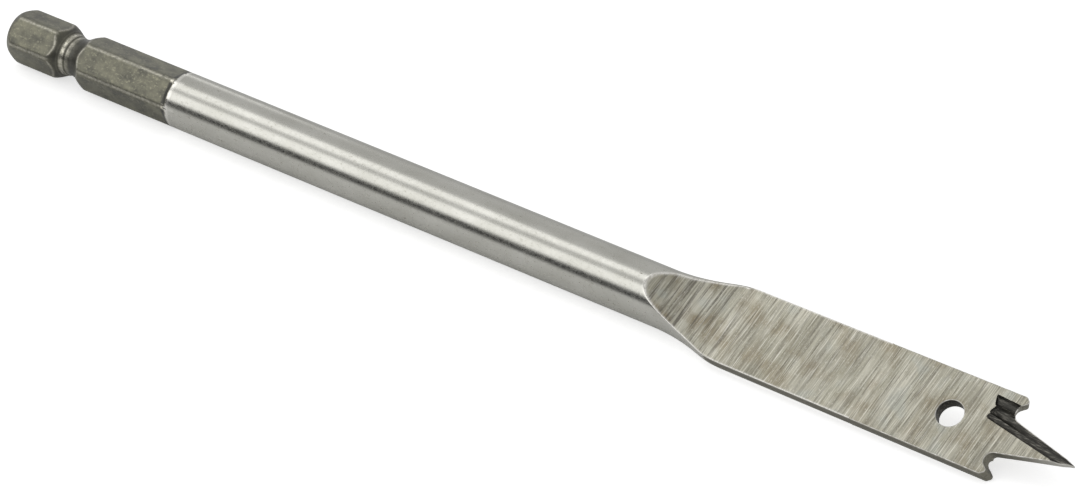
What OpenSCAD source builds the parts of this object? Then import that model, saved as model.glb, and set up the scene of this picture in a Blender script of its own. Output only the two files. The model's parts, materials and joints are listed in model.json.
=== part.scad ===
// Spade drill bit with a 1/4 inch hex power shank, forged and ground from one steel rod.
// Drawn along +X from shank end to brad tip, then rolled until it lies on its shaft and one blade edge.

/* [Overall] */
// Length from the shank end to the brad tip
total_l = 152; // [130:1:400]
// Diameter of the round shaft
shaft_d = 7; // [6.6:0.1:7.2]

/* [Hex shank] */
// Size of the hexagon across its flats
hex_af = 6.35; // [6.3:0.05:6.5]
// Length of the flats, from the shank end to where they start to run out
hex_l = 25.5; // [20:0.5:30]
// Angle between the axis and the cone where the flats run out into the shaft
runout_angle = 29; // [20:1:60]
// Angle between the blade's normal and the normal of the nearest flat
hex_clock = 18.5; // [0:0.5:60]
// Length of the chamfer at the shank end
end_chamfer_l = 1; // [0.5:0.1:2]
// Depth of the chamfer at the shank end
end_chamfer_h = 0.6; // [0.3:0.05:1]

/* [Retaining groove] */
// Distance of the groove's centre from the shank end
groove_x = 9.5; // [8.5:0.1:11]
// Diameter at the bottom of the groove
groove_d = 4.85; // [4.4:0.05:5.4]
// Radius of the groove's bottom
groove_r = 2.6; // [1.5:0.1:3]
// Angle between the axis and the groove's flanks
groove_angle = 31.5; // [28:0.5:45]

/* [Blade] */
// Width of the blade, which is the diameter of the hole that it bores
blade_w = 10.2; // [9:0.1:16]
// Thickness of the blade
blade_t = 1.65; // [1.6:0.05:2.2]
// Angle by which each long edge of the blade runs in towards the shaft
back_taper = 0.28; // [0:0.02:0.5]
// Length of the blade's flat faces, from the end of the ramps to the brad tip
blade_l = 43.2; // [36:0.2:60]
// Radius of the wheel that ground the ramps from the shaft to the faces
ramp_r = 30; // [16:1:60]
// Distance from the brad tip to the corner where the flare meets the blade's edges
flare_end = 45.8; // [38:0.2:58]
// Radius of the flare from the shaft to the blade's edges
flare_r = 25; // [16:1:40]
// Diameter of the hole in the blade
hole_d = 3.2; // [2.5:0.1:4]
// Distance of the hole's centre from the brad tip
hole_x = 15.7; // [14.5:0.1:25]

/* [Cutting end] */
// Length of the brad point, from the spur tips to its own tip
brad_l = 8.15; // [6:0.05:9]
// Width between the inner walls of the two gullets, as a share of the blade's width
brad_share = 0.437; // [0.4:0.001:0.45]
// Length of the blunter tip of the brad point
tip_l = 1.2; // [0.6:0.1:2]
// Width of the brad point where that tip starts
tip_w = 0.94; // [0.6:0.02:1.2]
// Radius of each gullet, as a share of the blade's width
gullet_share = 0.093; // [0.08:0.001:0.095]
// Depth of the gullets behind the spur tips
gullet_h = 1.05; // [0.95:0.05:1.3]
// Length of the chamfer outside each spur tip
spur_l = 0.7; // [0.3:0.05:1]
// Width of the chamfer outside each spur tip
spur_w = 0.6; // [0.3:0.05:0.65]
// Clearance angle of the cutting edges
relief = 17; // [8:1:22]

/* [Rake faces] */
// Distance of the rear end of the flutes from the brad tip
flute_x = 11.7; // [11.2:0.1:12.5]
// Angle by which the two flutes along the brad point lie closer to the axis than its flank
strip_lag = 3.3; // [2.5:0.1:4]
// Distance of the inner edge of those flutes from the line at their angle through the brad tip
strip_w = 1.03; // [0.9:0.01:1.2]
// Radius of the flute at the edge of the brad point
edge_r = 0.73; // [0.73:0.01:0.85]
// Depth of the flute at the edge of the brad point
edge_h = 0.72; // [0.6:0.01:0.73]
// Distance of that flute's centre line outside the line through the brad tip
edge_out = 0.36; // [0.3:0.01:0.45]
// Radius of the flute at the inner side of the strip
inner_r = 0.52; // [0.48:0.01:0.6]
// Depth of the flute at the inner side of the strip
inner_h = 0.36; // [0.3:0.01:0.42]
// Radius of the flutes that lead to the lip
lip_flute_r = 0.66; // [0.6:0.01:0.75]
// Depth of the flutes that lead to the lip, at their rear end
lip_flute_h = 0.42; // [0.3:0.01:0.45]
// Spacing of the flutes that lead to the lip, of which a wide blade has several
lip_flute_pitch = 0.9; // [0.8:0.05:1]
// Slope of those flutes towards the cutting edge
lip_flute_slope = 2; // [0:0.5:4]
// Angle between the axis and those flutes
lip_flute_fan = 5; // [0:1:8]
// Width of the face that is left between the outermost flute and the blade's edge
lip_flute_land = 1; // [0.9:0.01:1.3]

/* [Hidden] */
$fn = 96;
steel = "#8f8d87";

// Room by which a cutter reaches past what it cuts
over = 1;
shaft_r = shaft_d / 2;

// Half diagonal of the blade's section, and the roll that brings its lower corner level with the shaft
corner_r = norm([blade_w / 2, blade_t / 2]);
rest_roll = asin(shaft_r / corner_r) - atan(blade_t / blade_w);

// Half width of the blade at x, which is blade_w / 2 at the spur tips
function edge_y(x) = blade_w / 2 - (total_l - brad_l - x) * tan(back_taper);

// The flare is an arc that leaves the shaft as a tangent and reaches the blade's edge at the flare's end
flare_h = norm([edge_y(total_l - flare_end), blade_t / 2]) - shaft_r;
flare_x = total_l - flare_end - sqrt(2 * flare_r * flare_h - flare_h * flare_h);
blank_r = corner_r + over;

// Cutting end, seen square to the relief, with the brad tip as origin and x towards the shank negative
squash = cos(relief);
brad_w = brad_share * blade_w;
gullet_r = gullet_share * blade_w;
tip_side = [-tip_l * squash, tip_w / 2];
spur_tip = [-brad_l * squash, blade_w / 2 - spur_w];
spur_back = [-(brad_l + spur_l) * squash, blade_w / 2];
gullet = [gullet_r - (brad_l + gullet_h) * squash, brad_w / 2 + gullet_r];

// The flank and the lip run into the gullet nearly as tangents: they touch a circle that is smaller by nip
nip = 0.004;
touch_r = gullet_r - nip;

// Angle at p between the line to the gullet's centre and the line that touches it, and that line's length
function touch_angle(p) = asin(touch_r / norm(gullet - p));
function touch_l(p) = sqrt(pow(norm(gullet - p), 2) - touch_r * touch_r);
function bearing(from, to) = atan2(to[1] - from[1], to[0] - from[0]);
function ahead(from, angle, dist) = from + dist * [cos(angle), sin(angle)];

flank_angle = bearing(tip_side, gullet) + touch_angle(tip_side);
flank_end = ahead(tip_side, flank_angle, touch_l(tip_side));
lip_angle = bearing(spur_tip, gullet) - touch_angle(spur_tip);
lip_end = ahead(spur_tip, lip_angle, touch_l(spur_tip));

// Angle between the axis and the flutes along the brad point, seen on the blade's faces
strip_angle = atan(tan(180 - flank_angle) * squash) - strip_lag;

// Half width on the face of a round flute with radius r and depth h
function flute_half_w(r, h) = sqrt(2 * r * h - h * h);

// Centre lines of the inner flute, from the line through the brad tip, and of the outermost lip flute
inner_y = flute_half_w(inner_r, inner_h) - strip_w;
lip_flute_half_w = flute_half_w(lip_flute_r, lip_flute_h);
lip_flute_y = blade_w / 2 - lip_flute_land - lip_flute_half_w;

// Lip flutes fill the face between the outermost one and the flutes along the brad point
strip_out_y = flute_x * tan(strip_angle) + edge_out + flute_half_w(edge_r, edge_h);
lip_flute_gap = lip_flute_y - lip_flute_half_w - strip_out_y;
lip_flute_n = 1 + max(0, ceil(lip_flute_gap / lip_flute_pitch));

// Outline of the groove in the half plane of radius and length
module groove_outline() {
    start_r = groove_d / 2 + groove_r * (1 - cos(groove_angle));
    start_x = groove_r * sin(groove_angle);
    end_x = start_x + (shaft_d - start_r) / tan(groove_angle);
    translate([0, groove_x]) {
        translate([groove_d / 2 + groove_r, 0]) circle(groove_r);
        polygon([[start_r, -start_x], [shaft_d, -end_x], [shaft_d, end_x], [start_r, start_x]]);
    }
}

// All that is round about the axis: end chamfer, groove, shaft, flare and the rod that becomes the blade
module turned_blank() {
    rotate([0, 90, 0]) rotate_extrude() difference() {
        polygon([
            [0, 0], [shaft_r - end_chamfer_h, 0], [shaft_r, end_chamfer_l], [shaft_r, flare_x],
            [blank_r, flare_x], [blank_r, total_l + over], [0, total_l + over]
        ]);
        intersection() {
            translate([shaft_r + flare_r, flare_x]) circle(flare_r);
            translate([0, flare_x]) square(2 * flare_r);
        }
        groove_outline();
    }
}

// What is cut away around the hexagon, up to the cone where the flats run out
module hex_waste() {
    apex_x = hex_l - hex_af / 2 / tan(runout_angle);
    cone_l = shaft_d / tan(runout_angle);
    start_x = -2 * over;
    end_x = apex_x + cone_l + 2 * over;
    difference() {
        rotate([0, 90, 0]) rotate_extrude()
            polygon([[0, -over], [shaft_d, -over], [shaft_d, apex_x + cone_l], [0, apex_x]]);
        rotate([90 + hex_clock, 0, 0]) rotate([0, 90, 0]) translate([0, 0, start_x])
            cylinder(h = end_x - start_x, r = hex_af / sqrt(3), $fn = 6);
    }
}

// Side view of the whole bit: full height at the shaft, and two wheel arcs down to the blade's faces
module side_slab() {
    ramp_x = total_l - blade_l;
    rotate([90, 0, 0]) linear_extrude(2 * blank_r + over, center = true) difference() {
        translate([-over, -shaft_d]) square([total_l + 2 * over, 2 * shaft_d]);
        for (side = [0, 1]) mirror([0, side]) translate([ramp_x, blade_t / 2]) {
            translate([0, ramp_r]) circle(ramp_r);
            square([total_l, shaft_d]);
        }
    }
}

// Plan view of the whole bit: the blade's two long edges, which spread slightly towards the spurs
module plan_slab() {
    root_y = edge_y(flare_x);
    front_x = total_l + over;
    front_y = edge_y(front_x);
    linear_extrude(2 * shaft_d, center = true) polygon([
        [-over, blank_r], [flare_x, blank_r], [flare_x, root_y], [front_x, front_y],
        [front_x, -front_y], [flare_x, -root_y], [flare_x, -blank_r], [-over, -blank_r]
    ]);
}

// What is cut away in front of one half of the blade: brad tip, flank, gullet, lip and spur
module front_waste() {
    ahead_of_tip = ahead([0, 0], bearing(tip_side, [0, 0]), brad_l);
    outside_spur = ahead(spur_back, bearing(spur_tip, spur_back), shaft_r);
    cutter_t = 2 * shaft_d;
    translate([total_l, 0, 0]) rotate([0, relief, 0]) linear_extrude(cutter_t, center = true) {
        translate(gullet) circle(gullet_r);
        polygon([
            ahead_of_tip, tip_side, flank_end, gullet, lip_end, spur_tip, outside_spur,
            [ahead_of_tip[0], outside_spur[1]]
        ]);
    }
}

// One round flute of a wheel, in the plane square to its travel, with the blade's face at y = 0
module flute_outline(r, h) {
    translate([0, r - h]) circle(r);
}

// What is ground off along one edge of the brad point: two flutes side by side
module strip_waste() {
    translate([total_l, 0, blade_t / 2]) rotate([0, 0, -strip_angle]) translate([-flute_x, 0, 0])
        rotate([90, 0, 90]) linear_extrude(flute_x + brad_l) {
            translate([edge_out, 0]) flute_outline(edge_r, edge_h);
            translate([inner_y, 0]) flute_outline(inner_r, inner_h);
        }
}

// What is ground off behind one lip: flutes that run out through the cutting edge
module lip_waste() {
    translate([total_l - flute_x, lip_flute_y, blade_t / 2]) rotate([0, lip_flute_slope, -lip_flute_fan])
        rotate([90, 0, 90]) linear_extrude(flute_x - brad_l + over)
            for (i = [0 : lip_flute_n - 1]) translate([-i * lip_flute_pitch, 0])
                flute_outline(lip_flute_r, lip_flute_h);
}

// Repeats a cutter for the other lip, half a turn about the axis
module both_lips() {
    for (turn = [0, 180]) rotate([turn, 0, 0]) children();
}

// The whole bit before its rake faces are ground
module profiled_bit() {
    difference() {
        intersection() {
            turned_blank();
            side_slab();
            plan_slab();
        }
        hex_waste();
        translate([total_l - hole_x, 0, -blade_t]) cylinder(h = 2 * blade_t, r = hole_d / 2);
        both_lips() front_waste();
    }
}

module spade_bit() {
    color(steel) translate([-total_l / 2, 0, shaft_r]) rotate([rest_roll, 0, 0]) difference() {
        difference() {
            profiled_bit();
            both_lips() strip_waste();
        }
        both_lips() lip_waste();
    }
}

spade_bit();
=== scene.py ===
import json
import math
import bpy
import numpy as np
from mathutils import Euler, Matrix, Vector
from mathutils.geometry import delaunay_2d_cdt

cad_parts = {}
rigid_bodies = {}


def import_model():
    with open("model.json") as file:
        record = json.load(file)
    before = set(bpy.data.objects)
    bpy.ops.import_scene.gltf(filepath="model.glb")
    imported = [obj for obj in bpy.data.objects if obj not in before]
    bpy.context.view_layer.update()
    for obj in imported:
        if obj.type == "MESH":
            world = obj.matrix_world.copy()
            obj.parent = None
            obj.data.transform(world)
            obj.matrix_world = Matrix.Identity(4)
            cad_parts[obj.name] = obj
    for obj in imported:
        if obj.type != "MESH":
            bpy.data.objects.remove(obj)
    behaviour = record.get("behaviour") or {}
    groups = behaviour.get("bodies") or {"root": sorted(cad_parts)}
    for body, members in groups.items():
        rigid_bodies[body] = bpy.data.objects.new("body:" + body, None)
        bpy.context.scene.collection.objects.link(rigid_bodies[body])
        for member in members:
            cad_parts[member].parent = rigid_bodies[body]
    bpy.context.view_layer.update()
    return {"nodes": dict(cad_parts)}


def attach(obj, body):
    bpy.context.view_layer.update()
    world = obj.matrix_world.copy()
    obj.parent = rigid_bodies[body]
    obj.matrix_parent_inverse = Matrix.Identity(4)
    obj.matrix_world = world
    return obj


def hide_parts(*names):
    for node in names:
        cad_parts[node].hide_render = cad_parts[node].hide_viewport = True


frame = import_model()
scene = bpy.context.scene
cadBit = frame["nodes"]["spade_bit"]
print("stage frame:", cadBit.name, len(cadBit.data.vertices), "vertices")

# Camera fitted to the hex flats, the shaft and the blade's corners: place in metres, turn in degrees
view = {
    "place": (0.28, -0.371057, 0.293078), "turn": (57.95194, -0.71392, 37.08054),
    "lens": 158.276, "sensor": 36, "near": 0.01, "far": 10,
}
cameraData = bpy.data.cameras.new("camera")
cameraData.sensor_fit = "HORIZONTAL"
cameraData.sensor_width = view["sensor"]
cameraData.lens = view["lens"]
cameraData.clip_start = view["near"]
cameraData.clip_end = view["far"]
camera = bpy.data.objects.new("camera", cameraData)
scene.collection.objects.link(camera)
cameraTurn = Euler([math.radians(angle) for angle in view["turn"]])
camera.matrix_world = Matrix.LocRotScale(Vector(view["place"]), cameraTurn, None)
scene.camera = camera
scene.view_settings.view_transform = "Standard"
print("stage camera: lens", view["lens"])


def softMin(a, b, k):
    # (a + b - sqrt((a - b)^2 + k^2)) / 2, which rounds the corner over a width of about k
    return (a + b - np.sqrt((a - b) ** 2 + k * k)) / 2


def softMax(a, b, k):
    # The same with the larger of the two values
    return (a + b + np.sqrt((a - b) ** 2 + k * k)) / 2


def easing(a, b, x):
    # 0 up to a and 1 from b on, with t^2 (3 - 2 t) in between; it falls where b is below a
    t = np.clip((x - a) / (b - a), 0, 1)
    return t * t * (3 - 2 * t)


# The bit in millimetres and degrees on its own axis, x from the shank end to the tip, z square to the blade
bit = {
    "length": 152.0, "shaftR": 3.5,
    "hexFlat": 3.175, "hexTurn": 48.5, "hexEnd": 25.5, "runOut": 29.0,
    "endR": 2.9, "endSlope": 0.6, "endRound": 0.1,
    "grooveX": 9.5, "grooveR": 2.425, "grooveArc": 2.6, "grooveAngle": 31.5,
    "treadX": 8.57, "treadPitch": 0.78, "treadFrom": 7.95, "treadTo": 10.0, "treadFade": 0.3, "riser": 0.24,
    "faceX": 108.8, "faceH": 0.825, "rampArc": 30.0,
    "spurX": 143.9, "edgeY": 5.1, "backTaper": 0.28, "flareEnd": 106.2, "flareArc": 25.0,
    "cutX": 126.0,
}

# Softness of the worn edges in millimetres, and the stretches of x over which it changes
worn = {
    "end": 0.08, "groove": 0.06, "runOut": 0.06, "ridge": 0.08, "rim": 0.07, "rimReach": (4.5, 3.5),
    "ramp": 0.12, "roll": 0.1, "rollTurn": (-0.3, 0.3), "rampFrom": (98, 101.5), "rampTo": (109, 106),
    "face": 0.06, "edge": 0.08, "bend": 0.18, "bendReach": 1.2,
}

# Roll that brings the blade's lower corner level with the shaft
cornerR = math.hypot(bit["edgeY"], bit["faceH"])
roll = math.asin(bit["shaftR"] / cornerR) - math.atan(bit["faceH"] / bit["edgeY"])


def toRow(x, y, z):
    # Lays the bit on its shaft and one blade edge, in metres
    c, s = math.cos(roll), math.sin(roll)
    return np.stack([x - bit["length"] / 2, c * y - s * z, s * y + c * z + bit["shaftR"]], -1) / 1000


def bladeHalfWidth(x):
    # The long edges run in a little from the spurs towards the shaft
    return bit["edgeY"] - (bit["spurX"] - x) * math.tan(math.radians(bit["backTaper"]))


def faceHeight(x):
    # Wheel arc down to the blade's face: h = faceH + R - sqrt(R^2 - d^2), with d the distance behind the face
    d = np.clip(bit["faceX"] - x, 0, bit["rampArc"])
    return bit["faceH"] + bit["rampArc"] - np.sqrt(bit["rampArc"] ** 2 - d * d)


def turningTreads(x):
    # Steps that the tool left in the groove: x goes to the middle of the nearest tread, with a short riser
    # between two treads. Gives that x, and how far it lies on a tread, from 0 on a riser to 1
    t = (x - bit["treadX"]) / bit["treadPitch"]
    off = t - np.round(t)
    rise = easing(0.5 - bit["riser"], 0.5, np.abs(off))
    stepped = bit["treadX"] + bit["treadPitch"] * (np.round(t) + 0.5 * np.sign(off) * rise)
    share = easing(bit["treadFrom"], bit["treadFrom"] + bit["treadFade"], x)
    share = share * easing(bit["treadTo"], bit["treadTo"] - bit["treadFade"], x)
    return x + share * (stepped - x), share * (1 - rise)


def turnedRadius(x):
    # End chamfer, groove, shaft and flare, as a lathe leaves them. The groove is an arc with straight flanks,
    # and the flare r = shaftR + R - sqrt(R^2 - f^2) leaves the shaft as a tangent
    lead = np.clip(1 - x / bit["endRound"], 0, 1)
    chamfer = bit["endR"] + bit["endSlope"] * x - bit["endRound"] * (1 - np.sqrt(1 - lead * lead))
    a = math.radians(bit["grooveAngle"])
    d = np.abs(turningTreads(x)[0] - bit["grooveX"])
    inArc = np.minimum(d, bit["grooveArc"] * math.sin(a))
    arc = bit["grooveR"] + bit["grooveArc"] - np.sqrt(bit["grooveArc"] ** 2 - inArc * inArc)
    groove = arc + (d - inArc) * math.tan(a)
    rise = math.hypot(bladeHalfWidth(bit["flareEnd"]), bit["faceH"]) - bit["shaftR"]
    start = bit["flareEnd"] - math.sqrt(2 * bit["flareArc"] * rise - rise * rise)
    f = np.clip(x - start, 0, 0.9 * bit["flareArc"])  # the arc ends far outside the blade
    flare = bit["shaftR"] + bit["flareArc"] - np.sqrt(bit["flareArc"] ** 2 - f * f)
    return softMin(softMin(flare, chamfer, worn["end"]), groove, worn["groove"])


def bodySection(x, angle, r):
    # Below zero inside the section at x: round bar, hexagon up to its cone, faces and edges of the blade
    turned = r - turnedRadius(x)
    sector = np.mod(angle - math.radians(bit["hexTurn"]) + math.pi / 6, math.pi / 3) - math.pi / 6
    hexagon = r * np.cos(sector) - bit["hexFlat"]
    cone = r - bit["hexFlat"] - (x - bit["hexEnd"]) * math.tan(math.radians(bit["runOut"]))
    faces = np.abs(r * np.sin(angle)) - faceHeight(x)
    edges = np.abs(r * np.cos(angle)) - bladeHalfWidth(x)
    nearGroove = easing(*worn["rimReach"], np.abs(x - bit["grooveX"]))
    ridge = worn["ridge"] + (worn["rim"] - worn["ridge"]) * nearGroove
    shank = softMax(turned, softMin(hexagon, cone, worn["runOut"]), ridge)
    rolled = worn["ramp"] + worn["roll"] * easing(*worn["rollTurn"], np.sin(2 * angle))
    onRamp = easing(*worn["rampFrom"], x) * easing(*worn["rampTo"], x)
    face = worn["face"] + (rolled - worn["face"]) * onRamp
    edge = worn["edge"] + worn["bend"] * np.exp(-((x - bit["flareEnd"]) / worn["bendReach"]) ** 2)
    return softMax(softMax(shank, faces, face), edges, edge)


# Body from the shank end to the flat of the blade, in rings that lie closer where the form changes.
# A stretch of stations is its first x, its last x and its number of rings
body = {
    "around": 280, "sideShare": 0.3, "gather": 0.9, "steepest": 89.6, "change": (50, 95),
    "search": (0.2, 9.0), "halvings": 40,
    "stations": (
        (0, 1.6, 24), (1.6, 5.4, 8), (5.4, 13.6, 96), (13.6, 24.6, 12), (24.6, 27.6, 52),
        (27.6, 95.4, 30), (95.4, 109.4, 74), (109.4, 126.0, 24),
    ),
}

# Zones of finish on the body, and the rolled bands where the bar's own finish laps onto the ramps
zones = {
    "hexDepth": 0.03, "hexLast": 28, "hexPast": 0.4, "band": 0.12, "bandFrom": (98.5, 101), "bandLast": 107,
}

# Wear, painted corner shade and groove darkening: strengths, widths in millimetres, and ranges of x, of the
# turned radius or of a distance
marks = {
    "shankPast": 2, "ridge": 0.5, "ridgeWidth": 0.2, "ridgeRadius": (3.25, 3.48),
    "tread": 0.7, "treadFade": (10.2, 8.8), "rimWidth": 0.11, "rimRadius": (3.49, 3.44), "rimFrom": 4,
    "shoulderWidth": 0.06, "shoulderFade": (1.3, 0.9),
    "borderOut": 0.03, "borderBand": 1.8, "borderWidth": 0.13, "borderDepth": 0.4, "borderFrom": (94, 97),
    "cornerFrom": (-0.2, 0.1), "cornerDepth": (0.02, 0.08), "grooveDarkness": 0.75, "grooveReach": (2.9, 1.7),
}


def bodyRings():
    # Rings follow the ramp's outline: the sides span -a..a in angle, and the faces run from corner to corner
    spans = [np.linspace(first, last, count, endpoint=False) for first, last, count in body["stations"]]
    x = np.append(np.concatenate(spans), bit["cutX"])[:, None]
    change = easing(*body["change"], x)
    reach = np.minimum(turnedRadius(x), np.hypot(bladeHalfWidth(x), bit["faceH"]))
    rest = math.pi * body["sideShare"]
    lead = rest + (math.radians(body["steepest"]) - rest) * change
    height = np.minimum(faceHeight(x), reach * np.sin(lead))
    halfY = np.minimum(np.sqrt(np.maximum(reach ** 2 - height ** 2, 0)), bladeHalfWidth(x))
    corner = np.arctan2(height, halfY)
    gather = body["gather"] * change / (2 * math.pi)

    def shares(count):
        # From 0 to 1, drawn together at both ends: s - g sin(2 pi s)
        s = np.arange(count)[None, :] / count
        return s - gather * np.sin(2 * math.pi * s)

    nSide = int(body["around"] * body["sideShare"])
    nFace = body["around"] // 2 - nSide
    side = corner * (2 * shares(nSide) - 1)
    face = np.arctan2(height, halfY * (1 - 2 * shares(nFace)))
    angle = np.concatenate([side, face, side + math.pi, face + math.pi], 1)
    # The radius is found by halving the range in which the section's sign changes
    low, high = (np.full_like(angle, limit) for limit in body["search"])
    for step in range(body["halvings"]):
        middle = (low + high) / 2
        inside = bodySection(x, angle, middle) < 0
        low, high = np.where(inside, middle, low), np.where(inside, high, middle)
    return x, angle, low


def markBody(mesh, x, angle, r):
    # Finish of each face, wear and the painted corner shade and groove darkening of each point, from the
    # distances to the surfaces that meet there
    y, z = r * np.cos(angle), r * np.sin(angle)
    radius = turnedRadius(x)
    toTurned, toFace, toEdge = radius - r, faceHeight(x) - np.abs(z), bladeHalfWidth(x) - np.abs(y)
    onHex = (toTurned > zones["hexDepth"]) & (x < zones["hexLast"]) | (x < bit["hexEnd"] + zones["hexPast"])
    lap = zones["band"] * easing(*zones["bandFrom"], x) * (x < zones["bandLast"]) * (y * z > 0)
    onFace = toFace < np.minimum(toTurned, toEdge) - lap
    # 0 blackened shank, 1 ground bar, 2 faces of the blade, 3 edges of the blade; the two ends come last
    zone = np.select([onHex, onFace, toEdge < toTurned], [0, 2, 3], 1)
    mesh.polygons.foreach_set("material_index", np.append(zone[:-1].ravel(), np.repeat([0, 2], r.shape[1])))

    # Wear shows where the form is sharpest: ridges of the hexagon, groove, shoulder and borders of the ramps
    sector = np.mod(angle - math.radians(bit["hexTurn"]), math.pi / 3) - math.pi / 6
    toHex = bit["hexFlat"] / np.cos(math.pi / 6 - np.abs(sector)) - r
    onShank = x < bit["hexEnd"] + marks["shankPast"]
    ridge = marks["ridge"] * np.exp(-(r * sector / marks["ridgeWidth"]) ** 2)
    ridge = ridge * easing(*marks["ridgeRadius"], radius)
    tread = turningTreads(x)[1] * easing(*marks["treadFade"], x)
    rim = np.exp(-((np.abs(toTurned) + np.abs(toHex)) / marks["rimWidth"]) ** 2)
    rim = rim * easing(*marks["rimRadius"], radius) * (x > marks["rimFrom"])
    pastHex = x - bit["hexEnd"]
    shoulder = np.exp(-(toTurned / marks["shoulderWidth"]) ** 2)
    shoulder = shoulder * easing(*marks["shoulderFade"], pastHex) * (pastHex > 0)
    shankWear = np.maximum(np.maximum(ridge, rim), np.maximum(marks["tread"] * tread, shoulder))
    offBorder = toFace - np.minimum(toTurned, toEdge) + marks["borderOut"] + marks["borderBand"] * lap
    border = np.exp(-(offBorder / marks["borderWidth"]) ** 2 - (toFace / marks["borderDepth"]) ** 2)
    wear = np.where(onShank, shankWear, border * easing(*marks["borderFrom"], x))

    # Painted shade in the corner where the flats end, and darker towards the bottom of the groove, off its
    # treads and rims
    paintedCornerShade = onShank * easing(*marks["cornerFrom"], pastHex) * easing(*marks["cornerDepth"], toTurned)
    inGroove = marks["grooveDarkness"] * easing(*marks["grooveReach"], np.abs(x - bit["grooveX"]))
    paintedShadeAndGrooveDark = np.maximum(paintedCornerShade, inGroove * (1 - tread) * (1 - rim))
    for label, value in (("wear", wear), ("paintedShadeAndGrooveDark", paintedShadeAndGrooveDark)):
        values = np.append(value.ravel(), [0, 0]).astype(np.float32)
        mesh.attributes.new(label, "FLOAT", "POINT").data.foreach_set("value", values)


def closedTube(name, points):
    # Rings of points joined by quads, with a fan to a middle point at both ends
    rings, around = points.shape[:2]
    index = np.arange(rings * around).reshape(rings, around)
    following = np.roll(index, -1, 1)
    quads = np.stack([index[:-1], following[:-1], following[1:], index[1:]], -1).reshape(-1, 4)
    first, last = rings * around, rings * around + 1
    ends = np.concatenate([
        np.stack([np.full(around, first), following[0], index[0]], -1),
        np.stack([np.full(around, last), index[-1], following[-1]], -1),
    ])
    verts = np.concatenate([points.reshape(-1, 3), points[[0, -1]].mean(1)])
    mesh = bpy.data.meshes.new(name)
    mesh.from_pydata(verts.tolist(), [], quads.tolist() + ends.tolist())
    mesh.polygons.foreach_set("use_smooth", np.ones(len(mesh.polygons), bool))
    # The cut end stays flat: its rim is sharp
    pairs = edgePairs(mesh)
    mesh.attributes.new("sharp_edge", "BOOLEAN", "EDGE")
    mesh.attributes["sharp_edge"].data.foreach_set("value", (pairs >= (rings - 1) * around).all(1))
    return mesh


def edgePairs(mesh):
    # Numbers of the two points at the ends of each edge
    pairs = np.zeros(len(mesh.edges) * 2, np.int32)
    mesh.edges.foreach_get("vertices", pairs)
    return pairs.reshape(-1, 2)


def addPiece(mesh):
    piece = bpy.data.objects.new(mesh.name, mesh)
    scene.collection.objects.link(piece)
    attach(piece, "root")
    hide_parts("spade_bit")
    return piece


def buildBody():
    x, angle, r = bodyRings()
    points = toRow(np.broadcast_to(x, r.shape), r * np.cos(angle), r * np.sin(angle))
    mesh = closedTube("shankAndShaft", points)
    markBody(mesh, x, angle, r)
    return mesh


bodyPiece = addPiece(buildBody())
print("stage body:", len(bodyPiece.data.polygons), "faces")

# Front of the blade in the same millimetres: brad point, gullets, lips, spurs, rake flutes and the hole
front = {
    "bradL": 8.15, "bradW": 4.4574, "tipL": 1.2, "tipW": 0.94, "gulletR": 0.9486, "gulletH": 1.05,
    "spurL": 0.7, "spurW": 0.6, "spurRound": 0.36, "spurIn": 0.003, "relief": 17.0, "reliefFade": 1.5,
    "holeX": 136.3, "holeR": 1.6, "rim": 0.09, "leastRim": 0.002, "thinRim": 0.25, "tipRim": 0.3, "sharp": 34,
    "rimTurns": (0, 30, 60, 90), "flutePasses": 6, "sunk": 0.004, "hair": 0.01,
    "points": {"tip": 14, "flank": 80, "gullet": 26, "lip": 9, "nose": 10, "corner": 6, "edge": 60, "cut": 30,
               "hole": 72},
    "net": {"first": 0.3, "step": 0.4, "halfWidth": 4.8, "offFlutes": 0.25, "offRims": 0.06, "weld": 1e-7},
}

# Round flutes of the wheel on the rake faces: x, y and angle of a line, the flute's centre beside that line,
# its radius, depth and slope, and where it starts, ends and runs out, with the slant of its rear end
flutes = (
    {"x": 152, "y": 0, "angle": 10.58, "centre": 0.36, "r": 0.73, "h": 0.72, "slope": 0,
     "start": -11.7, "end": 0, "runOut": 0.9, "slant": 0.25},
    {"x": 152, "y": 0, "angle": 10.58, "centre": -0.535, "r": 0.52, "h": 0.36, "slope": 0,
     "start": -11.7, "end": 0, "runOut": 0.9, "slant": 0.3},
    {"x": 140.3, "y": 3.4852, "angle": 5, "centre": 0, "r": 0.66, "h": 0.42, "slope": 2,
     "start": 0, "end": 4.6, "runOut": 0.15, "slant": -0.4},
)

# Sample points on the flutes: how many lie across one, how far they pass its sides, and their steps along it
fluteNet = {"across": 34, "past": 0.06, "hair": 0.004, "rear": (-0.3, 0.8, 0.06), "after": 0.1, "step": 0.16}


def touch(p, centre, r, side):
    # Point where the line from p touches a circle, on the side given by its sign
    away = centre - p
    reach = np.hypot(*away)
    angle = math.atan2(away[1], away[0]) + side * math.asin(r / reach)
    return p + math.sqrt(reach * reach - r * r) * np.array([math.cos(angle), math.sin(angle)])


def fillet(a, b, c, r, count):
    # Arc of radius r in the corner b between the lines to a and c
    u, v = (a - b) / np.hypot(*(a - b)), (c - b) / np.hypot(*(c - b))
    half = math.acos(np.clip(u @ v, -1, 1)) / 2
    centre = b + (u + v) / np.hypot(*(u + v)) * r / math.sin(half)
    s, e = b + u * r / math.tan(half) - centre, b + v * r / math.tan(half) - centre
    first, last = math.atan2(s[1], s[0]), math.atan2(e[1], e[0])
    t = first + np.linspace(0, 1, count) * ((last - first + math.pi) % (2 * math.pi) - math.pi)
    return centre + r * np.stack([np.cos(t), np.sin(t)], 1)


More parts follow.
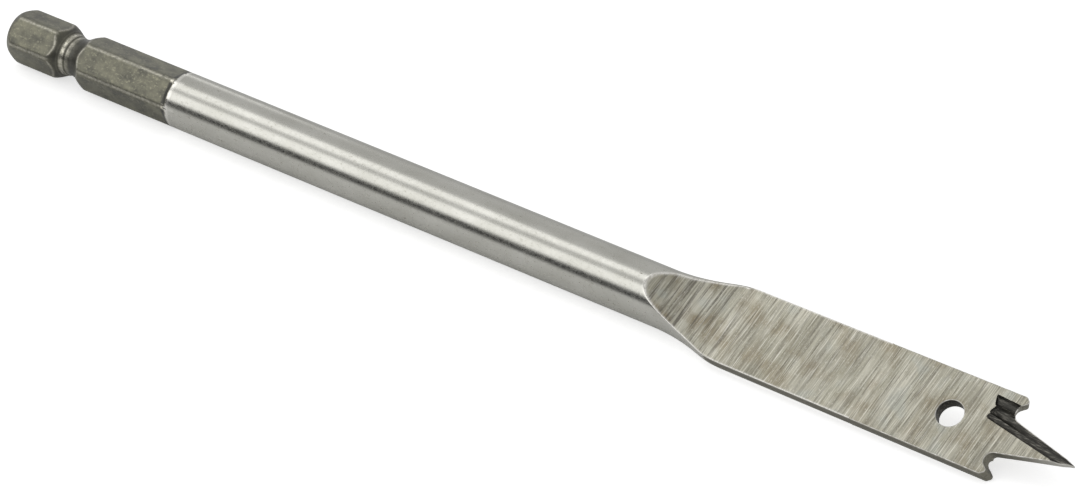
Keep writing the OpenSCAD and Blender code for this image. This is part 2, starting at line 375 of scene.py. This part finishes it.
def halfOutline():
    # Far half of the blade's outline at mid thickness, from the brad tip to the cut. Each point has a weight
    # by which the relief shears it, and a zone: 0 brad, 1 gullet, lip and spur, 2 long edge, 3 cut
    count = front["points"]
    squash = math.cos(math.radians(front["relief"]))
    tipSide = np.array([-front["tipL"] * squash, front["tipW"] / 2])
    spur = np.array([-front["bradL"] * squash, bit["edgeY"] - front["spurW"]])
    spurBack = np.array([-(front["bradL"] + front["spurL"]) * squash, bit["edgeY"] - front["spurIn"]])
    gulletR = front["gulletR"]
    gullet = np.array([gulletR - (front["bradL"] + front["gulletH"]) * squash, front["bradW"] / 2 + gulletR])
    flankEnd, lipEnd = touch(tipSide, gullet, gulletR, 1), touch(spur, gullet, gulletR, -1)
    first = math.atan2(*(flankEnd - gullet)[::-1]) % (2 * math.pi)
    last = math.atan2(*(lipEnd - gullet)[::-1]) % (2 * math.pi)
    t = np.linspace(first, last, count["gullet"])[1:-1]
    alongTip = np.linspace(0, 1, count["tip"], endpoint=False)[:, None]
    alongFlank = np.linspace(0, 1, count["flank"])[:, None]
    alongLip = np.linspace(0, 1, count["lip"], endpoint=False)[:, None]
    nose = fillet(lipEnd, spur, spurBack, front["spurRound"], count["nose"])
    corner = fillet(spur, spurBack, spurBack + np.array([-1, 0]), front["spurRound"], count["corner"])
    flank = np.concatenate([alongTip * tipSide, tipSide + alongFlank * (flankEnd - tipSide)])
    plan = np.concatenate([
        flank, gullet + gulletR * np.stack([np.cos(t), np.sin(t)], 1),
        lipEnd + alongLip * (nose[0] - lipEnd), nose, corner,
    ])
    x = bit["length"] + plan[:, 0] / squash
    edgeX = np.linspace(x[-1], bit["cutX"], count["edge"])[1:]
    cutY = np.linspace(bladeHalfWidth(bit["cutX"]), 0, count["cut"], endpoint=False)[1:]
    zone = np.repeat([0, 1, 2, 3], [len(flank), len(x) - len(flank), len(edgeX), len(cutY)])
    edgeWeight = np.clip(1 - (edgeX[0] - edgeX) / front["reliefFade"], 0, 1)
    weight = np.concatenate([np.clip(plan[:, 0] / tipSide[0], 0, 1), edgeWeight, 0 * cutY])
    y = np.concatenate([plan[:, 1], bladeHalfWidth(edgeX), cutY])
    return np.concatenate([x, edgeX, np.full(len(cutY), bit["cutX"])]), y, weight, zone


def rakeHeight(x, y):
    # Upper face of the blade with the round flutes cut into it. Across a flute z = c - sqrt(r^2 - v^2), and
    # at its rear end the wheel leaves the face along a quarter ellipse, z += h (1 - sqrt(1 - e^2))
    z = np.full(np.broadcast(x, y).shape, bit["faceH"])
    for flute in flutes:
        c, s = math.cos(math.radians(flute["angle"])), math.sin(math.radians(flute["angle"]))
        dx, dy, r = x - flute["x"], y - flute["y"], flute["r"]
        u, v = c * dx - s * dy, s * dx + c * dy - flute["centre"]
        behind = u - flute["start"] - flute["slant"] * v
        e = np.clip(1 - behind / flute["runOut"], 0, 1)
        sink = behind * math.tan(math.radians(flute["slope"])) + flute["h"] * np.sqrt(1 - e * e)
        cut = bit["faceH"] + r - sink - np.sqrt(np.maximum(r * r - v * v, 0))
        z = np.where((behind > 0) & (np.abs(v) < r), np.minimum(z, cut), z)
    return z


def flutePoints():
    # Sample points along the flutes, close together across them, at their rims and at their rounded rear ends
    hair = np.array([-fluteNet["hair"], fluteNet["hair"]])
    points = []
    for flute in flutes:
        c, s = math.cos(math.radians(flute["angle"])), math.sin(math.radians(flute["angle"]))
        half = math.sqrt(2 * flute["r"] * flute["h"] - flute["h"] ** 2)
        rims = (np.array([-half, half])[:, None] + hair).ravel()
        past = half + fluteNet["past"]
        across = np.append(np.linspace(-past, past, fluteNet["across"]), rims)
        rear = flute["start"] + np.arange(*fluteNet["rear"])
        along = np.append(rear, np.arange(rear[-1] + fluteNet["after"], flute["end"], fluteNet["step"]))
        u, v = (part.ravel() for part in np.meshgrid(along, across + flute["centre"]))
        points.append(np.stack([flute["x"] + c * u + s * v, flute["y"] - s * u + c * v], 1))
    return np.concatenate(points)


def insidePolygon(points, loop):
    # Even-odd rule, all points against all sides at once
    a, b = loop, np.roll(loop, -1, 0)
    px, py = points[:, :1], points[:, 1:]
    crosses = (a[:, 1] > py) != (b[:, 1] > py)
    level = np.where(b[:, 1] == a[:, 1], 1, b[:, 1] - a[:, 1])
    return (crosses & (px < a[:, 0] + (py - a[:, 1]) / level * (b[:, 0] - a[:, 0]))).sum(1) % 2 == 1


def outlineRings():
    # Rounded upper rim of the whole outline: at the turn a, rim (1 - sin a) inside and rim (1 - cos a) deep.
    # The near half comes first, so that turning the bit half round reverses the order of the points
    x, y, weight, zone = halfOutline()
    side = np.append(-np.ones(len(x)), np.ones(len(x) - 1))
    x, y = np.append(x[::-1], x[1:]), np.append(-y[::-1], y[1:])
    weight, zone = np.append(weight[::-1], weight[1:]), np.append(zone[::-1], zone[1:])
    slope = math.tan(math.radians(front["relief"]))
    tipSlope = (zone == 0) * (1 - weight) * slope * front["tipW"] / 2 / front["tipL"]

    def sheared(z):
        # The relief moves the outline along x with z; the tip's flanks move across, and the long edges stay
        px = x + side * weight * z * slope
        return px, np.where(zone == 2, side * bladeHalfWidth(px), y + z * tipSlope)

    top = np.full(len(x), bit["faceH"])
    for step in range(front["flutePasses"]):
        top = rakeHeight(*sheared(top))
    px, py = sheared(top)
    tx, ty = np.gradient(px), np.gradient(py)
    size = np.hypot(tx, ty)
    # The rim is narrower where the blade is thin, and nearly nothing at the brad tip and at the cut
    rim = np.minimum(front["rim"], front["thinRim"] * (top + top[::-1]))
    rim = np.where(zone == 0, np.minimum(rim, front["tipRim"] * np.abs(y) + front["leastRim"]), rim)
    rim = np.where((zone == 3) | (x < bit["cutX"] + front["hair"]), front["leastRim"], rim)
    rings = []
    for turn in np.radians(front["rimTurns"]):
        inward = rim * (1 - math.sin(turn)) / size
        qx, qy = px - ty * inward, py + tx * inward
        rings.append(np.stack([qx, qy, rakeHeight(qx, qy) - rim * (1 - math.cos(turn))], 1))
    return rings


def holeRings():
    # The same rounded rim around the hole
    count = front["points"]["hole"]
    t = np.arange(count) / count * 2 * math.pi
    rings = []
    for turn in np.radians(front["rimTurns"]):
        r = front["holeR"] + front["rim"] * (1 - math.sin(turn))
        z = bit["faceH"] - front["rim"] * (1 - math.cos(turn))
        rings.append(np.stack([front["holeX"] + np.cos(t) * r, np.sin(t) * r, np.full(count, z)], 1))
    return rings


def faceNet(inner, circle):
    # Triangles of the upper face between its outline and the hole, on a grid with closer points on the flutes
    net = front["net"]
    gridX = np.arange(bit["cutX"] + net["first"], bit["length"], net["step"])
    gridY = np.arange(-net["halfWidth"], net["halfWidth"] + net["step"] / 2, net["step"])
    grid = np.stack([part.ravel() for part in np.meshgrid(gridX, gridY)], 1)
    fine = flutePoints()
    toFlute = np.abs(grid[:, None] - fine[None]).sum(-1).min(1)
    dots = np.concatenate([grid[toFlute > net["offFlutes"]], fine])
    toRim = np.sqrt(((dots[:, None] - inner[None]) ** 2).sum(-1).min(1))
    toHole = np.hypot(dots[:, 0] - front["holeX"], dots[:, 1]) - front["holeR"] - front["rim"]
    dots = dots[insidePolygon(dots, inner) & (np.minimum(toRim, toHole) > net["offRims"])]
    n, m = len(inner), len(circle)
    index = (np.arange(n), n + np.arange(m))
    loops = np.concatenate([np.stack([ring, np.roll(ring, -1)], 1) for ring in index])
    points = np.concatenate([inner, circle, dots])
    # Output kind 2 keeps only what lies inside the outline
    made = delaunay_2d_cdt(points.tolist(), loops.tolist(), [], 2, net["weld"])
    flat, tris = np.array(made[0]), np.array(made[2])
    inHole = ((tris >= n) & (tris < n + m)).all(1)
    return flat, tris[~inHole]


def band(a, b):
    # Quads between two closed loops of vertex numbers
    return np.stack([a, b, np.roll(b, -1), np.roll(a, -1)], 1)


def buildFront():
    # Upper half with its rims, and the lower half as the same points turned half round about x
    rings, bores = outlineRings(), holeRings()
    n, m, rounds = len(rings[0]), len(bores[0]), len(rings) - 1
    flat, tris = faceNet(rings[0][:, :2], bores[0][:, :2])
    face = np.column_stack([flat, rakeHeight(flat[:, 0], flat[:, 1])])
    upper = np.concatenate([face] + rings[1:] + bores[1:])
    total = len(upper)
    verts = np.concatenate([upper, upper * (1, -1, -1)])
    outer = [np.arange(n)] + [len(flat) + k * n + np.arange(n) for k in range(rounds)]
    bore = [n + np.arange(m)] + [len(flat) + rounds * n + k * m + np.arange(m) for k in range(rounds)]
    rims = np.concatenate([band(outer[k], outer[k + 1]) for k in range(rounds)])
    boreRims = np.concatenate([band(bore[k + 1], bore[k]) for k in range(rounds)])
    wall = band(outer[-1], total + outer[-1][::-1])
    boreWall = band(total + np.roll(bore[-1][::-1], 1), bore[-1])
    faces = [tris, tris + total, rims, rims + total, wall, boreRims, boreRims + total, boreWall]
    # 0 faces of the blade, 1 edges, 2 flutes, 3 wall of the hole, 4 corners
    finish = np.repeat([0, 0, 4, 4, 1, 4, 4, 3], [len(block) for block in faces])
    depth = bit["faceH"] - np.abs(verts[:, 2])
    sunk = np.concatenate([depth[tris].mean(1), depth[tris + total].mean(1)]) > front["sunk"]
    finish[:len(sunk)] = np.where(sunk, 2, 0)
    mesh = bpy.data.meshes.new("cuttingEnd")
    mesh.from_pydata(toRow(*verts.T).tolist(), [], sum((block.tolist() for block in faces), []))
    mesh.polygons.foreach_set("material_index", finish)
    mesh.polygons.foreach_set("use_smooth", np.ones(len(mesh.polygons), bool))
    mesh.set_sharp_from_angle(angle=math.radians(front["sharp"]))
    # The cut, which the body's own piece covers, stays flat
    sharp = np.zeros(len(mesh.edges), bool)
    mesh.attributes["sharp_edge"].data.foreach_get("value", sharp)
    atCut = (verts[:, 0] < bit["cutX"] + front["hair"])[edgePairs(mesh)].all(1)
    mesh.attributes["sharp_edge"].data.foreach_set("value", sharp | atCut)
    return mesh


frontPiece = addPiece(buildFront())
print("stage front:", len(frontPiece.data.polygons), "faces")


def linear(code):
    # sRGB hex code to linear colour
    c = np.array([int(code[i:i + 2], 16) for i in (1, 3, 5)]) / 255
    return (*np.where(c <= 0.04045, c / 12.92, ((c + 0.055) / 1.055) ** 2.4), 1.0)


def wire(tree, node, inputs):
    # Links a socket to each input that is named, or sets its constant
    for name, value in inputs.items():
        if isinstance(value, bpy.types.NodeSocket):
            tree.links.new(value, node.inputs[name])
        else:
            node.inputs[name].default_value = value


def addNode(tree, kind, inputs, output=0, **settings):
    # Adds a node with its settings and links, and gives one of its outputs
    node = tree.nodes.new("ShaderNode" + kind)
    for name, value in settings.items():
        setattr(node, name, value)
    wire(tree, node, inputs)
    return node.outputs[output]


def newMaterial(name, roughness, metallic):
    material = bpy.data.materials.new(name)
    material.use_nodes = True
    tree = material.node_tree
    shader = tree.nodes["Principled BSDF"]
    wire(tree, shader, {"Roughness": roughness, "Metallic": metallic})
    return material, tree, shader


def newSteel(name, roughness):
    # Metal with the bit's own millimetres as its place, x along the bit and z square to the blade
    material, tree, shader = newMaterial(name, roughness, 1)
    place = addNode(tree, "Mapping", {
        "Vector": addNode(tree, "TexCoord", {}, "Object"),
        "Location": (-bit["length"] / 2000, 0, bit["shaftR"] / 1000),
        "Rotation": (roll, 0, 0), "Scale": (0.001, 0.001, 0.001)}, vector_type="TEXTURE")
    return material, tree, shader, place


def grain(tree, place, along, across, detail, lean=0.0, shift=0.0, roughness=0.5):
    # Noise with cells of so many millimetres along the bit and across it, turned by an angle on the face
    turned = addNode(tree, "Mapping", {"Vector": place, "Rotation": (0, 0, math.radians(lean))})
    cells = addNode(tree, "Mapping", {
        "Vector": turned, "Location": (shift, shift, shift), "Scale": (1 / along, 1 / across, 1 / across)})
    noise = {"Vector": cells, "Scale": 1, "Detail": detail, "Roughness": roughness}
    return addNode(tree, "TexNoise", noise, "Fac")


def layColours(tree, ground, layers):
    # Lays colours over the ground colour. A layer is its colour, the pattern that spreads it, the values of
    # that pattern at which it is absent and full, and how much it covers where it is full
    tone = linear(ground)
    for code, pattern, absent, full, cover in layers:
        reach = {"Value": pattern, "From Min": absent, "From Max": full, "To Max": cover}
        share = addNode(tree, "MapRange", reach)
        tone = addNode(tree, "Mix", {0: share, 6: tone, 7: linear(code)}, 2, data_type="RGBA")
    return tone


# Centreless ground round bar: bright and smooth, with fine rings that catch the light as short glints, and
# specks of scale at the shoulder. Real rings are about 0.03 mm apart, and are drawn at 0.14 mm to show
def groundSteel():
    material, tree, shader, place = newSteel("groundShaftSteel", 0.24)
    rings = grain(tree, place, 0.14, 0.9, 3)
    specks = grain(tree, place, 0.5, 0.3, 3, shift=6.6)
    cloud = grain(tree, place, 6, 2.5, 2, shift=2.2)
    wear = addNode(tree, "Attribute", {}, "Fac", attribute_name="wear")
    along = addNode(tree, "SeparateXYZ", {"Vector": place}, "X")
    shoulder = addNode(tree, "MapRange", {
        "Value": along, "From Min": bit["hexEnd"] + 0.5, "From Max": bit["hexEnd"] + 1,
        "To Min": 0.3, "To Max": 0})
    chips = addNode(tree, "Math", {0: specks, 1: shoulder}, operation="ADD")
    tone = layColours(tree, "#c9c8c0", (
        ("#d5d4cd", cloud, 0.35, 0.65, 1),
        ("#a5a399", rings, 0.58, 0.8, 0.2),
        ("#a8a698", specks, 0.58, 0.76, 0.4),
        ("#efede6", wear, 0, 1, 1),
        ("#57544a", chips, 0.72, 0.8, 0.8),
    ))
    rough = addNode(tree, "MapRange", {
        "Value": specks, "From Min": 0.3, "From Max": 0.7, "To Min": 0.21, "To Max": 0.29})
    bump = addNode(tree, "Bump", {"Height": rings, "Distance": 1.2e-6, "Strength": 1})
    wire(tree, shader, {"Base Color": tone, "Roughness": rough, "Normal": bump})
    return material


# Blackened hexagon: dark olive scale with an oily sheen, mottled, worn grey on ridges, with painted shade in
# the corner where the flats end and darker in the groove.
# The scale's real grains are about 0.05 mm, and are drawn at 0.3 mm to show
def blackSteel():
    material, tree, shader, place = newSteel("blackenedShankSteel", 0.46)
    mottle = grain(tree, place, 1.8, 1.3, 4, roughness=0.6)
    specks = grain(tree, place, 0.35, 0.25, 3)
    wear = addNode(tree, "Attribute", {}, "Fac", attribute_name="wear")
    paintedShadeAndGrooveDark = addNode(tree, "Attribute", {}, "Fac", attribute_name="paintedShadeAndGrooveDark")
    chipped = addNode(tree, "MapRange", {"Value": specks, "From Min": 0.36, "From Max": 0.56, "To Min": 0.35})
    bare = addNode(tree, "Math", {0: wear, 1: chipped}, operation="MULTIPLY")
    tone = layColours(tree, "#4d4c40", (
        ("#807e69", mottle, 0.32, 0.68, 1),
        ("#aaa78d", specks, 0.55, 0.75, 0.6),
        ("#e2decf", bare, 0, 1, 1),
        # Painted shade in the corner where the flats end, and darker in the groove
        ("#26251b", paintedShadeAndGrooveDark, 0, 1, 0.95),
    ))
    rough = addNode(tree, "MapRange", {"Value": wear, "To Min": 0.44, "To Max": 0.2})
    bump = addNode(tree, "Bump", {"Height": specks, "Distance": 1.2e-5, "Strength": 1})
    wire(tree, shader, {
        "Base Color": tone, "Roughness": rough, "Normal": bump,
        "Coat Weight": 0.8, "Coat Roughness": 0.4, "Coat IOR": 1.7})
    return material


# Belt ground flats: matt and olive grey, with fine broken lines across the blade and brown heat tint on the
# ramps. A belt's real scratches are about 0.04 mm wide, and are drawn at 0.11 mm to show
def bladeSteel():
    material, tree, shader, place = newSteel("beltGroundBladeSteel", 0.44)
    lines = grain(tree, place, 0.11, 3, 1, lean=6)
    streaks = grain(tree, place, 0.26, 7, 2, lean=6, shift=3.1)
    bands = grain(tree, place, 1.7, 11, 2, lean=6, shift=7.7)
    cuts = grain(tree, place, 0.13, 6, 1, lean=6.5, shift=11.3)
    specks = grain(tree, place, 0.16, 0.3, 2, shift=4.4)
    tint = grain(tree, place, 3.5, 3, 2, lean=6, shift=5.5)
    cloud = grain(tree, place, 5, 5, 2, lean=6, shift=9.1)
    wear = addNode(tree, "Attribute", {}, "Fac", attribute_name="wear")
    along = addNode(tree, "SeparateXYZ", {"Vector": place}, "X")
    # Tint and streaks are stronger on the ramps, up to 103 mm, than on the flat from 110 mm on
    ramps = {"Value": along, "From Min": 103, "From Max": 110}
    brown = addNode(tree, "MapRange", {"Value": tint, "From Min": 0.5, "From Max": 0.66})
    brownHere = addNode(tree, "MapRange", {**ramps, "To Min": 0.75, "To Max": 0.5})
    patches = addNode(tree, "Math", {0: brown, 1: brownHere}, operation="MULTIPLY")
    dark = addNode(tree, "MapRange", {"Value": streaks, "From Min": 0.56, "From Max": 0.34})
    darkHere = addNode(tree, "MapRange", {**ramps, "To Min": 0.85, "To Max": 0.45})
    shadows = addNode(tree, "Math", {0: dark, 1: darkHere}, operation="MULTIPLY")
    chipped = addNode(tree, "MapRange", {"Value": specks, "From Min": 0.35, "From Max": 0.55, "To Min": 0.5})
    bare = addNode(tree, "Math", {0: wear, 1: chipped}, operation="MULTIPLY")
    tone = layColours(tree, "#b6b3a2", (
        ("#d4d1c2", bands, 0.3, 0.7, 1),
        ("#a39f8e", cloud, 0.4, 0.62, 0.5),
        ("#978a70", patches, 0, 1, 1),
        ("#bcc0b9", tint, 0.42, 0.3, 0.45),
        ("#77736a", shadows, 0, 1, 1),
        ("#f0ede2", lines, 0.55, 0.8, 0.8),
        ("#6b675c", lines, 0.42, 0.22, 0.65),
        ("#efece0", specks, 0.58, 0.8, 0.55),
        ("#4d4a42", cuts, 0.32, 0.24, 0.6),
        ("#faf8f2", bare, 0, 1, 1),
    ))
    rough = addNode(tree, "MapRange", {
        "Value": streaks, "From Min": 0.3, "From Max": 0.7, "To Min": 0.5, "To Max": 0.38})
    bump = addNode(tree, "Bump", {"Height": lines, "Distance": 6e-6, "Strength": 1})
    wire(tree, shader, {"Base Color": tone, "Roughness": rough, "Normal": bump})
    return material


# Ground edges and the walls of the gullets: darker, with fine lines along the bit, paler at the brad tip.
# The real lines are about 0.05 mm apart, and are drawn at 0.2 mm to show
def edgeSteel():
    material, tree, shader, place = newSteel("edgeGroundSteel", 0.36)
    lines = grain(tree, place, 3, 0.2, 3)
    wear = addNode(tree, "Attribute", {}, "Fac", attribute_name="wear")
    along = addNode(tree, "SeparateXYZ", {"Vector": place}, "X")
    tone = layColours(tree, "#848175", (
        ("#a29f93", lines, 0.3, 0.7, 1),
        ("#dad8d0", along, 146, 151, 1),
        ("#efede6", wear, 0, 1, 1),
    ))
    bump = addNode(tree, "Bump", {"Height": lines, "Distance": 4e-6, "Strength": 1})
    wire(tree, shader, {"Base Color": tone, "Normal": bump})
    return material


# Burnished corners: where the ground faces meet, a narrow bright line with nicks half a millimetre long
def cornerSteel():
    material, tree, shader, place = newSteel("burnishedCornerSteel", 0.3)
    nicks = grain(tree, place, 0.5, 0.5, 2)
    wire(tree, shader, {"Base Color": layColours(tree, "#c9c6bc", (("#f2f0ea", nicks, 0.4, 0.65, 1),))})
    return material


# Rake flutes, still black from hardening, with paler lines left by the wheel.
# The real lines are about 0.05 mm apart, and are drawn at 0.16 mm to show
def fluteSteel():
    material, tree, shader, place = newSteel("hardenedFluteSteel", 0.4)
    lines = grain(tree, place, 1.2, 0.16, 3)
    tone = layColours(tree, "#4a4945", (("#8b8880", lines, 0.5, 0.75, 1),))
    bump = addNode(tree, "Bump", {"Height": lines, "Distance": 6e-6, "Strength": 1})
    wire(tree, shader, {"Base Color": tone, "Normal": bump})
    return material


# In the order of the numbers that each piece gives its faces
black, ground, blade, edge, corner, flute = (
    blackSteel(), groundSteel(), bladeSteel(), edgeSteel(), cornerSteel(), fluteSteel())
finishes = {bodyPiece: (black, ground, blade, edge), frontPiece: (blade, edge, flute, flute, corner)}
for piece, materials in finishes.items():
    for material in materials:
        piece.data.materials.append(material)
print("stage materials:", len(bpy.data.materials))

# Studio in metres: white sheet, low black card in front that only the steel mirrors, the room and the lamps
studio = {
    # The sheet's tone, its glow to the camera, a faint painted glow for all other rays, and the painted tones
    # by y that the steel mirrors
    "sheetHalf": 1.2, "sheetTone": "#e7e7e7", "glow": 0.775, "paintedGlow": 0.08,
    "paintedReflectionTone": ((-0.048, "#303030"), (-0.022, "#f3f3f3"), (0, "#dfdfdf"), (0.06, "#cbcbcb")),
    "cardY": -1.0, "cardX": (-2.0, 1.0), "cardHeight": 0.26, "cardTone": "#191919",
    "room": (0.42, 0.56), "roomTop": 0.3,
    "lamps": {
        "frontSoftbox": {"place": (-0.51, -0.70, 0.51), "size": (1.4, 0.5), "radiance": 0.8},
        "topSoftbox": {"place": (-0.62, -0.11, 0.86), "size": (0.9, 0.4), "radiance": 0.82},
        "shankReflector": {"place": (-0.205, 0.20, 0.09), "size": (0.05, 0.06), "radiance": 0.5},
    },
}


def addCard(name, corners, material):
    mesh = bpy.data.meshes.new(name)
    mesh.from_pydata(corners, [], [(0, 1, 2, 3)])
    mesh.materials.append(material)
    card = bpy.data.objects.new(name, mesh)
    scene.collection.objects.link(card)
    return card


# White paper: plain white to the camera, with the bit's soft shadow on it. In the steel's reflections its
# tone is painted by y: a painted dark 48 mm and more in front of the bit, white just in front of it, and
# greyer under and behind it as painted shade. All rays but the camera's see a faint painted glow
def whitePaper():
    material, tree, shader = newMaterial("whitePaperSheet", 0.9, 0)
    seen = addNode(tree, "LightPath", {}, "Is Camera Ray")
    glossy, transmitted = seen.node.outputs["Is Glossy Ray"], seen.node.outputs["Is Transmission Ray"]
    inSteel = addNode(tree, "Math", {0: glossy, 1: transmitted}, operation="MAXIMUM")
    depth = addNode(tree, "SeparateXYZ", {"Vector": addNode(tree, "TexCoord", {}, "Object")}, "Y")
    first, last = studio["paintedReflectionTone"][0][0], studio["paintedReflectionTone"][-1][0]
    share = addNode(tree, "MapRange", {"Value": depth, "From Min": first, "From Max": last})
    # Painted reflection tones: dark in front, white just in front of the bit, greyer under and behind it as
    # painted shade
    paintedReflectionTone = addNode(tree, "ValToRGB", {"Fac": share}, "Color")
    stops = paintedReflectionTone.node.color_ramp.elements
    for y, code in studio["paintedReflectionTone"][1:-1]:
        stops.new((y - first) / (last - first))
    for stop, (y, code) in zip(stops, studio["paintedReflectionTone"]):
        stop.color = linear(code)
    plain = linear(studio["sheetTone"])
    tone = addNode(tree, "Mix", {0: inSteel, 6: plain, 7: paintedReflectionTone}, 2, data_type="RGBA")
    # Emission: white to the camera, and a faint painted glow to all other rays
    glow = addNode(tree, "MapRange", {"Value": seen, "To Min": studio["paintedGlow"], "To Max": studio["glow"]})
    wire(tree, shader, {
        "Base Color": tone, "Emission Color": tone, "Emission Strength": glow, "Specular IOR Level": 0})
    return material


# Black felt: takes up nearly all the light and has no gloss
def blackFelt():
    material, tree, shader = newMaterial("blackFelt", 1, 0)
    wire(tree, shader, {"Base Color": linear(studio["cardTone"]), "Specular IOR Level": 0})
    return material


half = studio["sheetHalf"]
addCard("floor", [(-half, -half, 0), (half, -half, 0), (half, half, 0), (-half, half, 0)], whitePaper())
(left, right), y, top = studio["cardX"], studio["cardY"], studio["cardHeight"]
flag = addCard("blackFlag", [(left, y, 0), (right, y, 0), (right, y, top), (left, y, top)], blackFelt())
flag.visible_camera = False

# The room: white behind everything to the camera, and to the bit a plain grey that rises a little with height
world = bpy.data.worlds.new("studio")
scene.world = world
world.use_nodes = True
tree = world.node_tree
height = addNode(tree, "SeparateXYZ", {"Vector": addNode(tree, "TexCoord", {}, "Generated")}, "Z")
low, high = studio["room"]
rising = {"Value": height, "From Max": studio["roomTop"], "To Min": low, "To Max": high}
room = addNode(tree, "MapRange", rising)
seen = addNode(tree, "LightPath", {}, "Is Camera Ray")
light = addNode(tree, "Math", {0: room, 1: seen}, operation="MAXIMUM")
wire(tree, tree.nodes["Background"], {"Color": linear("#ffffff"), "Strength": light})


def addLamp(name, place, size, radiance):
    # Rectangle with its long side along the bit, facing it; its power is pi * area * radiance
    lamp = bpy.data.lights.new(name, "AREA")
    lamp.shape = "RECTANGLE"
    lamp.size, lamp.size_y = size
    lamp.energy = math.pi * size[0] * size[1] * radiance
    box = bpy.data.objects.new(name, lamp)
    scene.collection.objects.link(box)
    back = Vector(place).normalized()
    up = back.cross(Vector((1, 0, 0))).normalized()
    axes = Matrix((up.cross(back), up, back)).transposed()
    box.matrix_world = Matrix.Translation(place) @ axes.to_4x4()
    box.visible_camera = False


for name, lamp in studio["lamps"].items():
    addLamp(name, **lamp)
print("stage light:", len(studio["lamps"]), "lamps")
